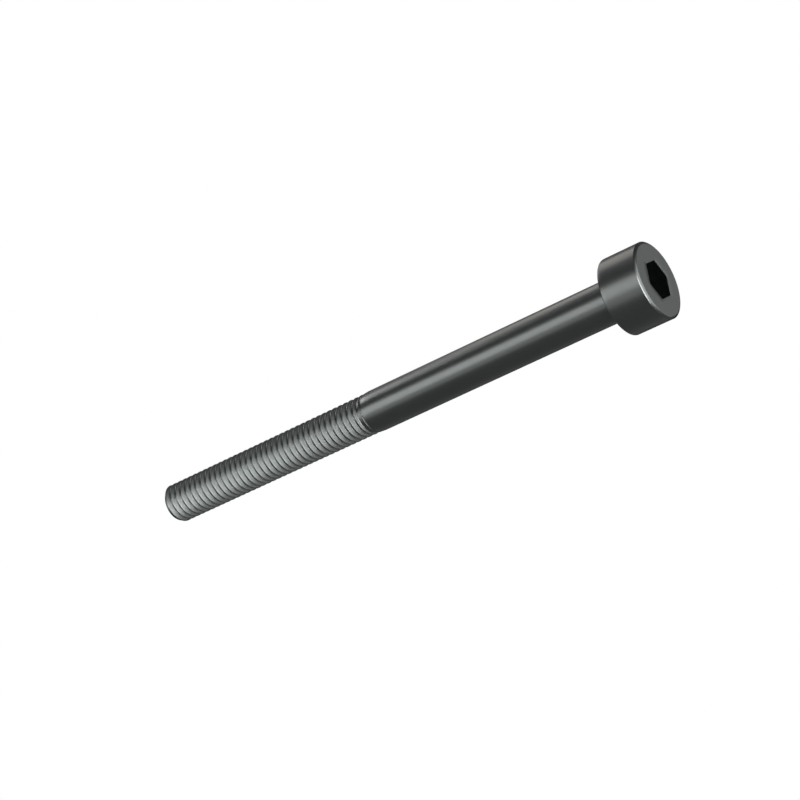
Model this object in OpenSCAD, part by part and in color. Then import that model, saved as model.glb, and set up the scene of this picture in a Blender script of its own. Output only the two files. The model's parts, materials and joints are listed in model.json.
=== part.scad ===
// Hex socket cap screw: a cylinder head with a hexagon socket, a plain shank and a rolled thread.
// The screw stands on its head: the bearing face under the head lies at z = 0 and the tip points up.

/* [Head] */
// Diameter of the head
head_d = 5.5; // [4.8:0.05:7]
// Height of the head, from its end face to the bearing face
head_h = 3; // [2.6:0.05:4]
// Width of the bevel round the end face, seen from the end
end_bevel_w = 0.2; // [0.05:0.01:0.3]
// Height of that bevel, along the side
end_bevel_h = 0.14; // [0.05:0.01:0.3]
// Radius of the rim round the bearing face
rim_r = 0.12; // [0.02:0.01:0.2]

/* [Socket] */
// Distance across the flats of the hexagon, for a 2.5 mm key
socket_af = 2.52; // [2:0.01:3]
// Depth of the flats
socket_depth = 1.4; // [1:0.05:1.6]
// Depth of the cone that the punch leaves below the flats
socket_cone_h = 0.4; // [0.2:0.05:0.5]

/* [Shank] */
// Length from the bearing face to the tip
length = 40; // [30:0.5:60]
// Diameter of the plain shank
shank_d = 3; // [2.96:0.01:3.4]
// Radius of the fillet between the shank and the bearing face
neck_r = 0.2; // [0.05:0.01:0.3]

/* [Thread] */
// Outer diameter of the thread, just under the shank
thread_d = 2.93; // [2.8:0.01:2.94]
// Rise of the thread in one turn
pitch = 0.5; // [0.4:0.05:0.6]
// Length of full thread, from the tip
thread_length = 18; // [12:0.5:24]
// Depth of the groove
groove_depth = 0.3; // [0.2:0.01:0.32]
// Length over which the last groove fades out into the shank
run_out = 1; // [0.6:0.1:2]
// Diameter of the flat end of the tip
tip_d = 2.46; // [2.4:0.01:2.7]
// Height of the bevel round the tip
tip_bevel_h = 0.22; // [0.1:0.01:0.3]
// Turn of the crest about the axis, in degrees
thread_start = 70; // [0:5:355]

/* [Hidden] */
$fn = 96;
steel = [0.24, 0.24, 0.23];

head_r = head_d / 2;
shank_r = shank_d / 2;
thread_r = thread_d / 2;
tip_r = tip_d / 2;

// The hexagon has a flat on either side in X and a corner towards -Y.
socket_r = socket_af / 2 / cos(30);
socket_turn = 30;
// How far a cutting shape starts outside the face that it opens
clear = 0.5;

// Where the groove begins, and the bevel there from the shank down to the thread
fade_z = length - thread_length - run_out;
step = shank_r - thread_r;
// How far the shank and the thread reach into each other
lap = 0.1;

// Round stretches of the outlines
arc_steps = 8;
function arc(centre, r, from, to) =
    [for (i = [0:arc_steps]) let (a = from + (to - from) * i / arc_steps) centre + r * [cos(a), sin(a)]];

// Outline of the forged blank, from the end face to the start of the thread
blank = concat(
    [[0, -head_h],
     [head_r - end_bevel_w, -head_h],
     [head_r, end_bevel_h - head_h]],
    arc([head_r - rim_r, -rim_r], rim_r, 0, 90),
    arc([shank_r + neck_r, neck_r], neck_r, 270, 180),
    [[shank_r, fade_z - step],
     [thread_r - lap, fade_z + lap],
     [0, fade_z + lap]]);

module forged_blank() {
    rotate_extrude() polygon(blank);
}

// The hexagon is cut by a punch with a conical end, so its flats end in arches round the cone.
module socket() {
    floor_z = -head_h + socket_depth;
    intersection() {
        translate([0, 0, -head_h - clear])
            rotate(socket_turn) cylinder(h = clear + socket_depth + socket_cone_h, r = socket_r, $fn = 6);
        rotate_extrude() polygon([
            [0, -head_h - clear],
            [socket_r, -head_h - clear],
            [socket_r, floor_z],
            [0, floor_z + socket_cone_h]]);
    }
}

// A 60 degree groove with a flat crest an eighth of the pitch wide. Each number is a share of the pitch,
// counted from the middle of the crest: the two edges of the crest, then the two edges of the root.
crest = 1 / 16;
flank = groove_depth * tan(30) / pitch;
edges = [-crest, crest, crest + flank, 1 - crest - flank];
sides = 24;
start_z = fade_z - lap;
// Turns added so that the first row starts below the thread and the last one ends above the tip
spare_turns = 1.5;
rows = 4 * ceil((length - start_z) / pitch + spare_turns);

function mix(a, b, t) = a + (b - a) * max(0, min(1, t));

// Share of the groove's depth at a place on the pitch
function groove_at(place) =
    let (p = place - floor(place + crest))
    p <= crest ? 0
    : p <= crest + flank ? (p - crest) / flank
    : p <= 1 - crest - flank ? 1
    : (1 - crest - p) / flank;

// Radius at a height and an angle: the groove fades in along the run-out, and out again over the tip's bevel.
function thread_radius(z, angle) =
    let (place = (z - start_z) / pitch - angle / 360,
         run_in = mix(0, 1, (z - fade_z) / run_out),
         bevel = mix(0, 1, (z - length + tip_bevel_h) / tip_bevel_h),
         groove = groove_depth * groove_at(place) * run_in * (1 - bevel))
    min(thread_r - groove, mix(thread_r, tip_r, bevel));

// A point on row k at an angle: each row follows one edge of the groove round the helix.
function thread_point(k, angle) =
    let (row_z = start_z + pitch * (floor(k / 4) - 1 + edges[k % 4] + angle / 360),
         z = max(start_z, min(length, row_z)),
         r = thread_radius(z, angle))
    [r * cos(angle + thread_start), r * sin(angle + thread_start), z];

// The rows wind on from one turn to the next: the seam joins row k to row k + 4.
module thread() {
    function at(j, k) = j < sides ? j * (rows + 1) + k : min(k + 4, rows);
    points = [for (j = [0:sides - 1], k = [0:rows]) thread_point(k, 360 * j / sides)];
    skin = [for (j = [0:sides - 1], k = [0:rows - 1])
        each [[at(j, k), at(j, k + 1), at(j + 1, k + 1)], [at(j, k), at(j + 1, k + 1), at(j + 1, k)]]];
    under = [for (j = [0:sides - 1]) at(j, 0)];
    over = [for (j = [sides - 1:-1:0]) at(j, rows)];
    polyhedron(points, concat(skin, [under, over]), convexity = 8);
}

module cap_screw() {
    color(steel) {
        difference() {
            forged_blank();
            socket();
        }
        thread();
    }
}

cap_screw();
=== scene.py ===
import json
import math

import bmesh
import bpy
import numpy as np
from bpy.props import FloatProperty, FloatVectorProperty, IntProperty, PointerProperty
from mathutils import Matrix, Vector


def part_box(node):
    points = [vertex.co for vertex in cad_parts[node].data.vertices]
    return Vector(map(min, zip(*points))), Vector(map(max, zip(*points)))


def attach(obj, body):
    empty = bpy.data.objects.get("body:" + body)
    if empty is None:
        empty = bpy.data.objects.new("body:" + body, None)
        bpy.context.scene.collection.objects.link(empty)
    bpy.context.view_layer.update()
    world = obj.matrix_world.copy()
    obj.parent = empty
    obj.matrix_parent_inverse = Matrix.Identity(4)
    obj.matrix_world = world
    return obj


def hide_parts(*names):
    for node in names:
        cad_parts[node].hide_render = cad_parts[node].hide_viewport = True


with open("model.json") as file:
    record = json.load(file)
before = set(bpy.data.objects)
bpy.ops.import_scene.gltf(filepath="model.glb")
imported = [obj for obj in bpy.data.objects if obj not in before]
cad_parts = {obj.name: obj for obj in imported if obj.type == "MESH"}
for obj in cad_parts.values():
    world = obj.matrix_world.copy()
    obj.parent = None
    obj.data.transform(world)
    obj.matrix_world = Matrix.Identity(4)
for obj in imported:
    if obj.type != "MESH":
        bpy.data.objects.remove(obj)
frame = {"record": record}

bl_info = {
    "name": "Hex socket cap screw",
    "version": (1, 0, 0),
    "blender": (4, 5, 0),
    "location": "3D View > Sidebar > Cap screw",
    "description": "A black oxide hex socket cap screw in a plain white studio",
    "category": "Object",
}

MM = 0.001
NODE = "cap_screw"

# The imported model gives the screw's ends, and its mounts give the diameters.
LOW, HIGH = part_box(NODE)
MOUNTS = {mount["name"]: mount for mount in frame["record"]["mounts"]}
HEAD_DIAMETER = 2 * MOUNTS["head_side"]["dims"]["r_mm"] * MM
SHANK_DIAMETER = 2 * MOUNTS["shank"]["dims"]["r_mm"] * MM
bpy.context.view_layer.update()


# Settings

def length_property(name, description, default):
    """A length in metres."""
    return FloatProperty(name=name, description=description, default=default, unit="LENGTH", precision=5)


class ScrewSizes(bpy.types.PropertyGroup):
    """Sizes of the screw, in metres."""

    head_diameter: length_property("Head diameter", "Width of the head", HEAD_DIAMETER)
    head_height: length_property("Head height", "From the end face to the bearing face", -LOW[2])
    end_bevel_width: length_property("End bevel width", "Width of the bevel, seen from the end", 0.2 * MM)
    end_bevel_height: length_property("End bevel height", "Height of the bevel, along the side", 0.14 * MM)
    end_bevel_round: FloatProperty(
        name="End bevel rounding",
        description="0 is a flat bevel and 1 a full quarter round",
        default=0.35,
        min=0,
        max=1,
    )
    rim_radius: length_property("Rim radius", "Radius of the rim round the bearing face", 0.12 * MM)
    socket_flats: length_property("Socket flats", "Distance across the hexagon's flats", 2.52 * MM)
    socket_depth: length_property("Socket depth", "Depth of the hexagon's flats", 1.4 * MM)
    socket_cone: length_property("Socket cone", "Depth of the cone below the flats", 0.4 * MM)
    shank_diameter: length_property("Shank diameter", "Width of the plain shank", SHANK_DIAMETER)
    neck_radius: length_property("Neck radius", "Fillet between the shank and the head", 0.2 * MM)
    length: length_property("Length", "From the bearing face to the tip", HIGH[2])
    shank_length: length_property("Shank length", "From the bearing face to the first crest", 21 * MM)
    shank_taper: length_property("Shank taper", "Length over which it narrows to the thread", 0.4 * MM)
    thread_diameter: length_property("Thread diameter", "Width over the thread's crests", 2.93 * MM)
    pitch: length_property("Pitch", "Rise of the thread in one turn", 0.5 * MM)
    thread_length: length_property("Thread length", "Length of full thread, from the tip", 18.1 * MM)
    groove_depth: length_property("Groove depth", "From the crest to the root", 0.28 * MM)
    run_out: length_property("Run-out", "Length over which the groove gains its depth", 1.2 * MM)
    tip_diameter: length_property("Tip diameter", "Width of the flat end", 2.46 * MM)
    tip_bevel: length_property("Tip bevel", "Height of the bevel round the tip", 0.22 * MM)
    edge: length_property("Edge", "Size of the small rounding on machined edges", 0.03 * MM)
    start: FloatProperty(
        name="Thread start",
        description="Angle of the crest at the tip",
        default=math.radians(142),
        unit="ROTATION",
    )
    columns: IntProperty(
        name="Columns",
        description="Faces round the screw, a multiple of six",
        default=120,
        min=24,
    )


class ScrewFinish(bpy.types.PropertyGroup):
    """Colours and roughness of the black oxide finish, with the painted highlight on the sides of the groove
    and the painted shade in the socket.
    """

    oxide: FloatVectorProperty(
        name="Oxide",
        description="Colour of the black oxide",
        subtype="COLOR",
        size=3,
        default=(0.104, 0.111, 0.109),
    )
    roughness: FloatProperty(
        name="Roughness",
        description="Roughness of the head and shank",
        default=0.3,
        min=0,
        max=1,
    )
    groove_roughness: FloatProperty(
        name="Groove roughness",
        description="Roughness of the rolled groove",
        default=0.52,
        min=0,
        max=1,
    )
    # Painted highlight on the sides of the groove: their colour is made this many times lighter
    groove_highlight_gain: FloatProperty(
        name="Groove gain",
        description="How many times lighter the rolled groove is",
        default=2.2,
        min=0,
        max=4,
    )
    grain: FloatProperty(
        name="Grain",
        description="Strength of the mottled grain of the rolled groove",
        default=1.3,
        min=0,
        max=2,
    )
    # Painted shade inside the socket: the share of the colour left there
    socket_shade_share: FloatProperty(
        name="Socket gain",
        description="Share of the colour left inside the socket",
        default=0.5,
        min=0,
        max=1,
    )


# Geometry

# Flat of the crest on either side of its middle, as a share of the pitch
CREST_SHARE = 1 / 16
# Angle by which each side of the groove leans
FLANK_LEAN = math.radians(30)
# Half widths of the roundings at the edges of the crest and of the root, as shares of the side between them
CREST_ROUND = 0.04
ROOT_ROUND = 0.2
# Least share of its full size that the groove has. It is above 0, because places are divided by it.
LEAST_OPEN = 0.01
# How fast the painted highlight and the roughness change at the edges of a side of the groove, falling back
# to the plain oxide at the crest and the root
SIDE_CONTRAST = 5
# How the bevel of the tip bulges, and how fast the groove fades away over it
TIP_CURVE = 1.3
TIP_FADE = 2
# Points closer than this are one point, and edges that turn by more than this angle are sharp.
MERGE_DISTANCE = 0.0001 * MM
SHARP_ANGLE = math.radians(35)


def around(r, angles, z):
    """Points (r cos a, r sin a, z) round the axis. The radius and the height may be one for all angles."""
    x, y = r * np.cos(angles), r * np.sin(angles)
    return np.stack([x, y, np.broadcast_to(z, x.shape)], axis=-1)


def straight(start, end, steps):
    """Evenly spaced points of a line, without its first point."""
    share = np.linspace(0, 1, steps + 1)[1:, None]
    return np.asarray(start) * (1 - share) + np.asarray(end) * share


def curve(start, corner, end, steps=8):
    """A parabola between two points, whose lines at both ends point to the corner."""
    t = np.linspace(0, 1, steps + 1)[:, None]
    return np.asarray(start) * (1 - t) ** 2 + 2 * np.asarray(corner) * t * (1 - t) + np.asarray(end) * t ** 2


def outline_arc(centre, radius, start, end, steps=6):
    """Points of a circle's arc in the plane of radius and height, from one angle to another in degrees."""
    turn = np.radians(np.linspace(start, end, steps + 1))
    return np.stack([centre[0] + radius * np.cos(turn), centre[1] + radius * np.sin(turn)], axis=1)


def hexagon(flats, angles):
    """Radius of a hexagon: half its flats over the cosine of the angle from the nearest flat."""
    from_flat = np.mod(angles + math.pi / 6, math.pi / 3) - math.pi / 6
    return flats / 2 / np.cos(from_flat)


def socket_rings(size, angles):
    """Rings from the middle of the cone out to the flats, and down the flats to the rounded mouth.

    The cone's height falls evenly with the radius, so it meets the flats of the hexagon in arches.
    """
    bottom = -size.head_height
    corner = size.socket_flats / 2 / math.cos(math.pi / 6)
    flats = hexagon(size.socket_flats, angles)
    share = np.linspace(0, 1, 9)[:, None]
    cone_r = share * flats
    cone = around(cone_r, angles, bottom + size.socket_depth + size.socket_cone * (1 - cone_r / corner))
    share = share[1:, :, None]
    wall = cone[-1] * (1 - share) + around(flats, angles, bottom + size.edge) * share
    return np.concatenate([cone, wall])


def head_rings(size, angles):
    """Rings from the middle of the socket's cone, out over the head and up the shank to the thread.

    The second value returned is the number of rings that lie inside the socket.
    """
    head, shank, thread = size.head_diameter / 2, size.shank_diameter / 2, size.thread_diameter / 2
    bottom = -size.head_height
    socket = socket_rings(size, angles)

    # The hexagon widens by a quarter round at its mouth, and the end face goes from there out to the circle.
    turn = np.radians([30, 60, 90])[:, None]
    widened = hexagon(size.socket_flats + 2 * size.edge * (1 - np.cos(turn)), angles)
    mouth = around(widened, angles, bottom + size.edge - size.edge * np.sin(turn))
    face_r = head - size.end_bevel_width
    share = np.array([0.3, 0.6, 0.9, 1])[:, None]
    inner = hexagon(size.socket_flats + 2 * size.edge, angles)
    face = around(inner * (1 - share) + (face_r - size.edge) * share, angles, bottom)

    # The rest is round: one outline of radius and height, turned about the axis.
    flatness = (1 - size.end_bevel_round) / 2
    bevel_corner = (head - flatness * size.end_bevel_width, bottom + flatness * size.end_bevel_height)
    bevel_end = bottom + size.end_bevel_height
    side_start = bottom + size.end_bevel_height + size.edge
    taper_start = size.shank_length - size.shank_taper
    outline = np.concatenate([
        curve((face_r, bottom), bevel_corner, (head, bevel_end)),
        [(head, side_start)],
        straight((head, side_start), (head, -size.rim_radius), steps=10)[:-1],
        outline_arc((head - size.rim_radius, -size.rim_radius), size.rim_radius, 0, 90),
        straight((head - size.rim_radius, 0), (shank + size.neck_radius, 0), steps=6)[:-1],
        outline_arc((shank + size.neck_radius, size.neck_radius), size.neck_radius, 270, 180, steps=8),
        straight((shank, size.neck_radius), (shank, taper_start), steps=40),
        straight((shank, taper_start), (thread, size.shank_length), steps=4),
    ])
    turned = around(outline[:, :1], angles, outline[:, 1:])
    return np.concatenate([socket, mouth, face, turned]), len(socket)


def ramp(x, start, end):
    """A ramp from 0 at x = 0 to 1 at x = 1. A parabola of the given half width rounds each corner."""
    rise = np.where(x < start, (np.maximum(x + start, 0)) ** 2 / (4 * start), x)
    return np.where(x > 1 - end, 1 - np.maximum(1 + end - x, 0) ** 2 / (4 * end), rise)


def flank_share(size):
    """Width of one side of the groove, as a share of the pitch: its depth times the tangent of its lean."""
    return size.groove_depth * math.tan(FLANK_LEAN) / size.pitch


def turned_by(size, angles):
    """Share of a turn from the crest's angle at the tip to each angle."""
    return (angles - size.start) / (2 * math.pi)


def opened(size, root):
    """Share of its depth that the groove has with its root at a height: it grows evenly along the run-out."""
    start = size.length - size.thread_length - size.run_out
    return np.clip((root - start) / size.run_out, LEAST_OPEN, 1)


def groove_depth_at(size, z, angles):
    """Share of the groove's depth at a height and an angle: a rounded ramp of the distance from a crest.

    The ramp is as narrow as the groove is shallow there, so a shallow groove has a wide and flat bottom.
    """
    place = (z - size.length) / size.pitch - turned_by(size, angles)
    from_crest = np.abs(place - np.round(place))
    share = opened(size, z + size.pitch * (np.floor(place) + 0.5 - place))
    return share * ramp((from_crest - CREST_SHARE) / (flank_share(size) * share), CREST_ROUND, ROOT_ROUND)


def mirrored(rows):
    """The rows of one side of the groove, followed by the same rows from the last to the first."""
    return np.concatenate([rows, rows[:, ::-1]], axis=1)


def thread_rings(size, angles):
    """Rows along the helix: each keeps its place on the groove and rises by one pitch in a turn.

    Returns the rows, the number of rows in a turn, and how far each point lies on a side of the groove.
    """
    base, top = size.shank_length, size.length - size.tip_bevel
    thread = size.thread_diameter / 2
    # Places on one side of the groove: 0 is the edge of the crest and 1 is the edge of the root.
    x = np.array([-CREST_ROUND, 0, CREST_ROUND, 0.5, 1 - ROOT_ROUND, 1, 1 + ROOT_ROUND])[:, None]
    fall = ramp(x, CREST_ROUND, ROOT_ROUND)
    # Turns are numbered from the tip. Those past either end of the thread lie flat on its end ring.
    turns = math.ceil((top - base) / size.pitch) + 3
    turn = np.arange(-turns, 2)[:, None, None]
    crest = size.length + size.pitch * (turn + turned_by(size, angles))
    share = opened(size, crest + 0.5 * size.pitch)
    across = size.pitch * (CREST_SHARE + flank_share(size) * share * x)
    z = np.concatenate([crest + across, crest + size.pitch - across[:, ::-1]], axis=1)
    r = thread - size.groove_depth * mirrored(share * fall)
    r = np.where(z > top, thread - size.groove_depth * groove_depth_at(size, top, angles), r)
    r = np.where(z < base, thread - size.groove_depth * groove_depth_at(size, base, angles), r)
    rows = around(r, angles, np.clip(z, base, top))
    # Where the painted highlight and the rougher finish go: 1 on the sides of the groove, falling to 0 at the
    # crest and the root
    side = mirrored(share * np.minimum(SIDE_CONTRAST * np.minimum(fall, 1 - fall), 1))
    columns = len(angles)
    return rows.reshape(-1, columns, 3), 2 * len(x), side.reshape(-1, columns)


def tip_rings(size, angles):
    """Rings up the bevel of the tip, where the groove fades away, and in over the flat end.

    The radius changes with a power of the height, and the groove's depth with a power of what is left of it.
    """
    share = np.linspace(0, 1, 19)[1:, None]
    z = size.length - size.tip_bevel + size.tip_bevel * share
    bevel = size.thread_diameter / 2 + (size.tip_diameter - size.thread_diameter) / 2 * share ** TIP_CURVE
    r = bevel - size.groove_depth * (1 - share) ** TIP_FADE * groove_depth_at(size, z, angles)
    flat = r[-1] * np.linspace(1, 0, 7)[1:, None]
    z = np.concatenate([z, np.full((len(flat), 1), size.length)])
    return around(np.concatenate([r, flat]), angles, z)


def ring_faces(rows, columns, shift=0):
    """Quads of a grid whose rows are rings. A shift joins the last column to the first, that many rows on."""
    k, j = np.meshgrid(np.arange(rows - 1), np.arange(columns), indexing="ij")
    on = np.where(j == columns - 1, shift, 0)

    def right(row):
        return np.minimum(row + on, rows - 1) * columns + (j + 1) % columns

    quads = np.stack([k * columns + j, right(k), right(k + 1), (k + 1) * columns + j], axis=2)
    return quads.reshape(-1, 4)


def new_piece(name, points, faces, fields):
    """A mesh object from arrays, with its doubled points merged and each field kept as a point attribute."""
    mesh = bpy.data.meshes.new(name)
    mesh.from_pydata(points, [], faces)
    for field, values in fields.items():
        mesh.attributes.new(field, "FLOAT", "POINT").data.foreach_set("value", values)
    shape = bmesh.new()
    shape.from_mesh(mesh)
    bmesh.ops.remove_doubles(shape, verts=shape.verts, dist=MERGE_DISTANCE)
    shape.to_mesh(mesh)
    shape.free()
    mesh.shade_smooth()
    mesh.set_sharp_from_angle(angle=SHARP_ANGLE)
    piece = bpy.data.objects.new(name, mesh)
    bpy.context.scene.collection.objects.link(piece)
    return piece


# Shader graphs

class Wire:
    """A value in a shader graph. Adding, subtracting or multiplying it makes the Math node for that."""

    def __init__(self, graph, socket):
        self.graph = graph
        self.socket = socket

    def math(self, operation, first, second):
        return self.graph.node("ShaderNodeMath", {"operation": operation}, {0: first, 1: second})

    def __add__(self, other):
        return self.math("ADD", self, other)

    __radd__ = __add__

    def __sub__(self, other):
        return self.math("SUBTRACT", self, other)

    def __rsub__(self, other):
        return self.math("SUBTRACT", other, self)

    def __mul__(self, other):
        return self.math("MULTIPLY", self, other)

    __rmul__ = __mul__

    def out(self, name):
        """Another output of the same node."""
        return Wire(self.graph, self.socket.node.outputs[name])


class Graph:
    """The node tree of a material or a world."""

    def __init__(self, owner):
        owner.use_nodes = True
        self.tree = owner.node_tree
        self.tree.nodes.clear()

    def node(self, kind, settings=None, inputs=None):
        """Adds a node with its settings, then its sockets, and returns its first output that is in use."""
        made = self.tree.nodes.new(kind)
        for key, value in (settings or {}).items():
            setattr(made, key, value)
        for key, value in (inputs or {}).items():
            socket = made.inputs[key] if isinstance(key, int) else self.input(made, key)
            if isinstance(value, Wire):
                self.tree.links.new(value.socket, socket)
            else:
                socket.default_value = value
        outputs = [socket for socket in made.outputs if socket.enabled]
        return Wire(self, outputs[0]) if outputs else None

    def field(self, name):
        """A value kept on the mesh's points."""
        return self.node("ShaderNodeAttribute", {"attribute_name": name}).out("Fac")

    def noise(self, place, scale, detail):
        """A noise about 0.5 at each place, with features of one over the scale in metres."""
        values = {"Vector": place, "Scale": scale, "Detail": detail, "Roughness": 0.6}
        return self.node("ShaderNodeTexNoise", {}, values)

    def mixed(self, share, first, second):
        """Goes from the first colour to the second as the share goes from 0 to 1, and on past it."""
        first, second = (colour if isinstance(colour, Wire) else (*colour, 1) for colour in (first, second))
        settings = {"data_type": "RGBA", "clamp_factor": False}
        return self.node("ShaderNodeMix", settings, {"Factor": share, "A": first, "B": second})

    @staticmethod
    def input(made, name):
        """The socket of that name that the node's settings leave in use."""
        return next(socket for socket in made.inputs if socket.name == name and socket.enabled)


# Features in a metre: faint clouds in the roughness, and the fine grain of the rolled groove
CLOUD_SCALE = 900
GRAIN_SCALE = 9000
# How far the clouds change the roughness
CLOUD_SWING = 0.08


def black_oxide(finish):
    """Black oxide on steel: dark satin. The sides of the rolled groove are rougher and get a painted
    highlight, a paler colour with a mottled grain, and the socket gets painted shade, a darker colour.
    """
    material = bpy.data.materials.new("black_oxide")
    graph = Graph(material)
    place = graph.node("ShaderNodeTexCoord").out("Object")
    cloud = graph.noise(place, CLOUD_SCALE, detail=4)
    grain = graph.noise(place, GRAIN_SCALE, detail=2)
    groove = graph.field("groove")
    rougher = groove * (finish.groove_roughness - finish.roughness)
    roughness = finish.roughness + (cloud - 0.5) * CLOUD_SWING + rougher
    oxide = Vector(finish.oxide)
    # Painted highlight: the sides of the groove are lighter by the groove gain, with a mottled grain over it
    highlight_with_grain = groove * (1 + (grain - 0.5) * finish.grain)
    colour = graph.mixed(highlight_with_grain, oxide, oxide * finish.groove_highlight_gain)
    # Painted shade: the socket is darkened to that share of the colour
    colour = graph.mixed(graph.field("socket"), colour, oxide * finish.socket_shade_share)
    shader = graph.node(
        "ShaderNodeBsdfPrincipled",
        {},
        {"Base Color": colour, "Metallic": 1.0, "Roughness": roughness},
    )
    graph.node("ShaderNodeOutputMaterial", {}, {"Surface": shader})
    return material


class OBJECT_OT_cap_screw(bpy.types.Operator):
    """Make the screw: head with its socket, shank, thread and tip in one closed mesh"""

    bl_idname = "object.cap_screw"
    bl_label = "Cap screw"

    def execute(self, context):
        size = context.scene.screw_sizes
        columns = size.columns
        angles = np.arange(columns) * 2 * math.pi / columns
        head, socket_rows = head_rings(size, angles)
        thread, per_turn, side = thread_rings(size, angles)
        tip = tip_rings(size, angles)
        # The head ends and the tip starts with a copy of the thread's end ring, so no gap is left.
        head = np.concatenate([head, thread[:1]])
        tip = np.concatenate([thread[-1:], tip])
        head_count, thread_count = head.shape[0] * columns, thread.shape[0] * columns
        points = np.concatenate([part.reshape(-1, 3) for part in (head, thread, tip)])
        faces = np.concatenate([
            ring_faces(head.shape[0], columns),
            head_count + ring_faces(thread.shape[0], columns, per_turn),
            head_count + thread_count + ring_faces(tip.shape[0], columns),
        ])
        # The groove field carries the painted highlight and the rougher finish of the groove's sides, and the
        # socket field the painted shade inside the socket
        groove = np.concatenate([np.zeros(head_count), side.ravel(), np.zeros(tip.shape[0] * columns)])
        socket = (np.arange(len(points)) < socket_rows * columns).astype(float)
        piece = new_piece("screw", points, faces, {"groove": groove, "socket": socket})
        piece.data.materials.append(black_oxide(context.scene.screw_finish))
        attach(piece, "root")
        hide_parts(NODE)
        return {"FINISHED"}


# Stage

# Steps of a screen's grid round it and up it
SCREEN_COLUMNS = 32
SCREEN_ROWS = 8

# The floor: half its width, how far it lies below the head, and its grey
FLOOR_REACH = 1
FLOOR_GAP = 0.02 * MM
FLOOR_GREY = 0.9

# Strength of the surroundings as a light. What the camera and reflections see of them is white.
SKY_LIGHT = 0.55
SKY_WHITE = 1

# The camera: lens and sensor in millimetres, the height it looks at, its distance, and its angles in degrees
CAMERA_LENS = 103.95
CAMERA_SENSOR = 36
CAMERA_TARGET = 18.6 * MM
CAMERA_DISTANCE = 161.58 * MM
CAMERA_ELEVATION = -30.58
CAMERA_ROLL = -115


def direction(azimuth, elevation):
    """Unit vector from two angles in degrees: azimuth 0 is towards -Y and 90 towards +X."""
    a, e = math.radians(azimuth), math.radians(elevation)
    return Vector((math.sin(a) * math.cos(e), -math.cos(a) * math.cos(e), math.sin(e)))


def placed(thing, centre, way, distance, roll=0):
    """Puts an object at a distance from the centre, facing it, and turns it by the roll in degrees."""
    turn = way.to_track_quat("Z", "Y").to_matrix() @ Matrix.Rotation(math.radians(roll), 3, "Z")
    thing.matrix_world = Matrix.LocRotScale(centre + way * distance, turn, None)
    bpy.context.scene.collection.objects.link(thing)
    return thing


def lamp(name, centre, azimuth, elevation, width, height, level, distance=0.5, colour=(1, 1, 1)):
    """A softbox. Its width and height are angles in degrees, and a level of 1 is as bright as white."""
    data = bpy.data.lights.new(name, "AREA")
    data.shape = "RECTANGLE"
    data.size = 2 * distance * math.tan(math.radians(width) / 2)
    data.size_y = 2 * distance * math.tan(math.radians(height) / 2)
    data.energy = level * math.pi * data.size * data.size_y
    data.color = colour
    made = placed(bpy.data.objects.new(name, data), centre, direction(azimuth, elevation), distance)
    made.visible_camera = False


def screen(name, centre, azimuths, elevations, level, distance=0.9):
    """A grey screen: a patch of a sphere, the distance times the direction at each pair of angles.

    It shows in reflections alone, and leaves the floor and the camera's view as they are.
    """
    a, e = np.meshgrid(
        np.radians(np.linspace(*azimuths, SCREEN_COLUMNS + 1)),
        np.radians(np.linspace(*elevations, SCREEN_ROWS + 1)),
    )
    points = distance * np.stack([np.sin(a) * np.cos(e), -np.cos(a) * np.cos(e), np.sin(e)], axis=2)
    row, column = np.meshgrid(np.arange(SCREEN_ROWS), np.arange(SCREEN_COLUMNS), indexing="ij")
    low = row * (SCREEN_COLUMNS + 1) + column
    high = low + SCREEN_COLUMNS + 1
    faces = np.stack([low, low + 1, high + 1, high], axis=2)
    mesh = bpy.data.meshes.new(name)
    mesh.from_pydata(points.reshape(-1, 3) + np.array(centre), [], faces.reshape(-1, 4))
    material = bpy.data.materials.new(name)
    graph = Graph(material)
    grey = graph.node("ShaderNodeEmission", {}, {"Color": (1, 1, 1, 1), "Strength": level})
    graph.node("ShaderNodeOutputMaterial", {}, {"Surface": grey})
    mesh.materials.append(material)
    made = bpy.data.objects.new(name, mesh)
    bpy.context.scene.collection.objects.link(made)
    made.visible_camera = False
    made.visible_diffuse = False
    made.visible_shadow = False


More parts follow.
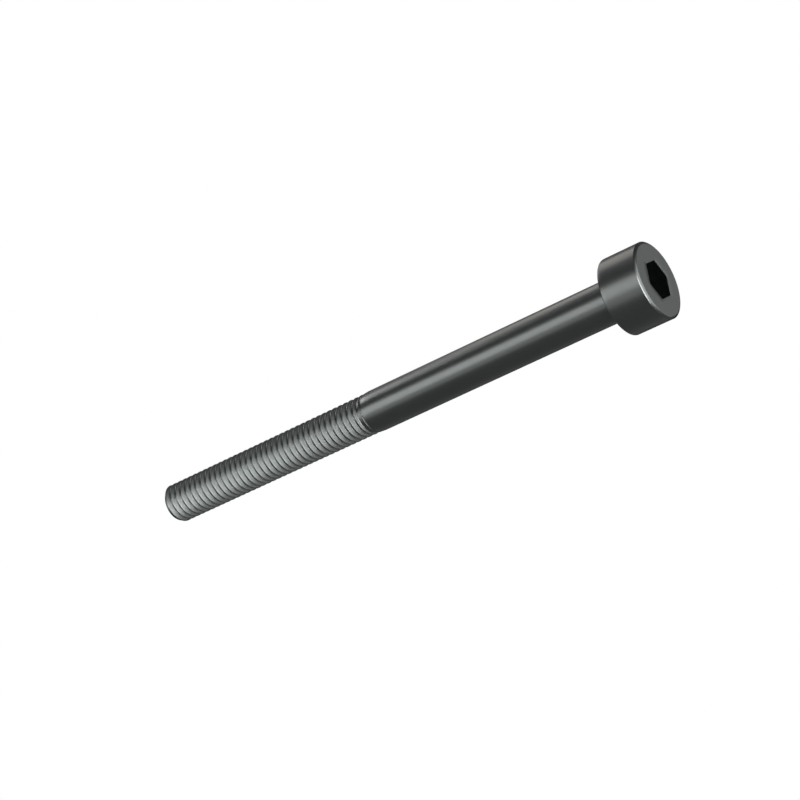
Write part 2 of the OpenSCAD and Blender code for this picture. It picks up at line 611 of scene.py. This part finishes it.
class OBJECT_OT_studio(bpy.types.Operator):
    """Make the stage: floor, white surroundings, softboxes, dark screens and the camera"""

    bl_idname = "object.screw_studio"
    bl_label = "Studio"

    def execute(self, context):
        scene = context.scene
        centre = Vector((0, 0, (LOW[2] + HIGH[2]) / 2))
        self.floor()
        self.surroundings(scene)
        screen("front_screen", centre, azimuths=(0, 46), elevations=(-19, 80), level=0.65)
        screen("right_screen", centre, azimuths=(46, 170), elevations=(-66, 80), level=0.15)
        screen("back_screen", centre, azimuths=(170, 214), elevations=(-22, 73), level=0.06)
        screen("left_screen", centre, azimuths=(214, 344), elevations=(-57, 80), level=0.25)
        lamp("key", centre, azimuth=24, elevation=37, width=30, height=43, level=2.35)
        lamp("side", centre, azimuth=100, elevation=38, width=26, height=12, level=4.5)
        warm = (1, 0.93, 0.89)
        lamp("back", centre, azimuth=118, elevation=22, width=34, height=14, level=1.65, colour=warm)
        lamp("low", centre, azimuth=-8, elevation=-50, width=63, height=23, level=12.5)
        lamp("under", centre, azimuth=0, elevation=-90, width=55, height=55, level=2.4)
        self.camera(scene)
        scene.view_settings.view_transform = "Standard"
        return {"FINISHED"}

    def floor(self):
        """A pale floor under the head. It is seen from above only, so the low camera looks through it."""
        mesh = bpy.data.meshes.new("floor")
        reach, z = FLOOR_REACH, LOW[2] - FLOOR_GAP
        corners = [(-reach, -reach, z), (reach, -reach, z), (reach, reach, z), (-reach, reach, z)]
        mesh.from_pydata(corners, [], [(0, 1, 2, 3)])
        material = bpy.data.materials.new("floor")
        graph = Graph(material)
        pale = graph.node("ShaderNodeBsdfDiffuse", {}, {"Color": (FLOOR_GREY, FLOOR_GREY, FLOOR_GREY, 1)})
        clear = graph.node("ShaderNodeBsdfTransparent")
        back = graph.node("ShaderNodeNewGeometry").out("Backfacing")
        mixed = graph.node("ShaderNodeMixShader", {}, {0: back, 1: pale, 2: clear})
        graph.node("ShaderNodeOutputMaterial", {}, {"Surface": mixed})
        mesh.materials.append(material)
        made = bpy.data.objects.new("floor", mesh)
        bpy.context.scene.collection.objects.link(made)
        made.visible_diffuse = False
        made.visible_glossy = False
        made.visible_transmission = False
        made.visible_shadow = False

    def surroundings(self, scene):
        """White behind the screw and in its reflections, and a plain level of light on the floor."""
        world = bpy.data.worlds.new("studio")
        scene.world = world
        graph = Graph(world)
        path = graph.node("ShaderNodeLightPath")
        seen = path.out("Is Camera Ray") + path.out("Is Glossy Ray") + path.out("Is Transmission Ray")
        light = graph.node("ShaderNodeBackground", {}, {"Color": (1, 1, 1, 1), "Strength": SKY_LIGHT})
        white = graph.node("ShaderNodeBackground", {}, {"Color": (1, 1, 1, 1), "Strength": SKY_WHITE})
        mixed = graph.node("ShaderNodeMixShader", {}, {0: seen, 1: light, 2: white})
        graph.node("ShaderNodeOutputWorld", {}, {"Surface": mixed})
        world.cycles.sampling_method = "NONE"

    def camera(self, scene):
        """The photograph's view: from the head's end and below, with the tip to the lower left."""
        data = bpy.data.cameras.new("camera")
        data.sensor_width = CAMERA_SENSOR
        data.lens = CAMERA_LENS
        data.clip_start, data.clip_end = 0.01, 5
        target = Vector((0, 0, CAMERA_TARGET))
        way = direction(0, CAMERA_ELEVATION)
        made = bpy.data.objects.new("camera", data)
        scene.camera = placed(made, target, way, CAMERA_DISTANCE, CAMERA_ROLL)


# Panel and start

class VIEW3D_PT_cap_screw(bpy.types.Panel):
    """Lists the screw's sizes and the steps that make it"""

    bl_label = "Cap screw"
    bl_space_type = "VIEW_3D"
    bl_region_type = "UI"
    bl_category = "Cap screw"

    def draw(self, context):
        for group in (context.scene.screw_sizes, context.scene.screw_finish):
            for name in group.__annotations__:
                self.layout.prop(group, name)
        for operator in OPERATORS:
            self.layout.operator(operator.bl_idname)


GROUPS = {"screw_sizes": ScrewSizes, "screw_finish": ScrewFinish}
OPERATORS = (OBJECT_OT_cap_screw, OBJECT_OT_studio)


def register():
    for kind in (*GROUPS.values(), *OPERATORS, VIEW3D_PT_cap_screw):
        bpy.utils.register_class(kind)
    for name, group in GROUPS.items():
        setattr(bpy.types.Scene, name, PointerProperty(type=group))


def unregister():
    for name in GROUPS:
        delattr(bpy.types.Scene, name)
    for kind in (VIEW3D_PT_cap_screw, *OPERATORS, *GROUPS.values()):
        bpy.utils.unregister_class(kind)


def main():
    register()
    bpy.ops.object.cap_screw()
    bpy.ops.object.screw_studio()


if __name__ == "__main__":
    main()
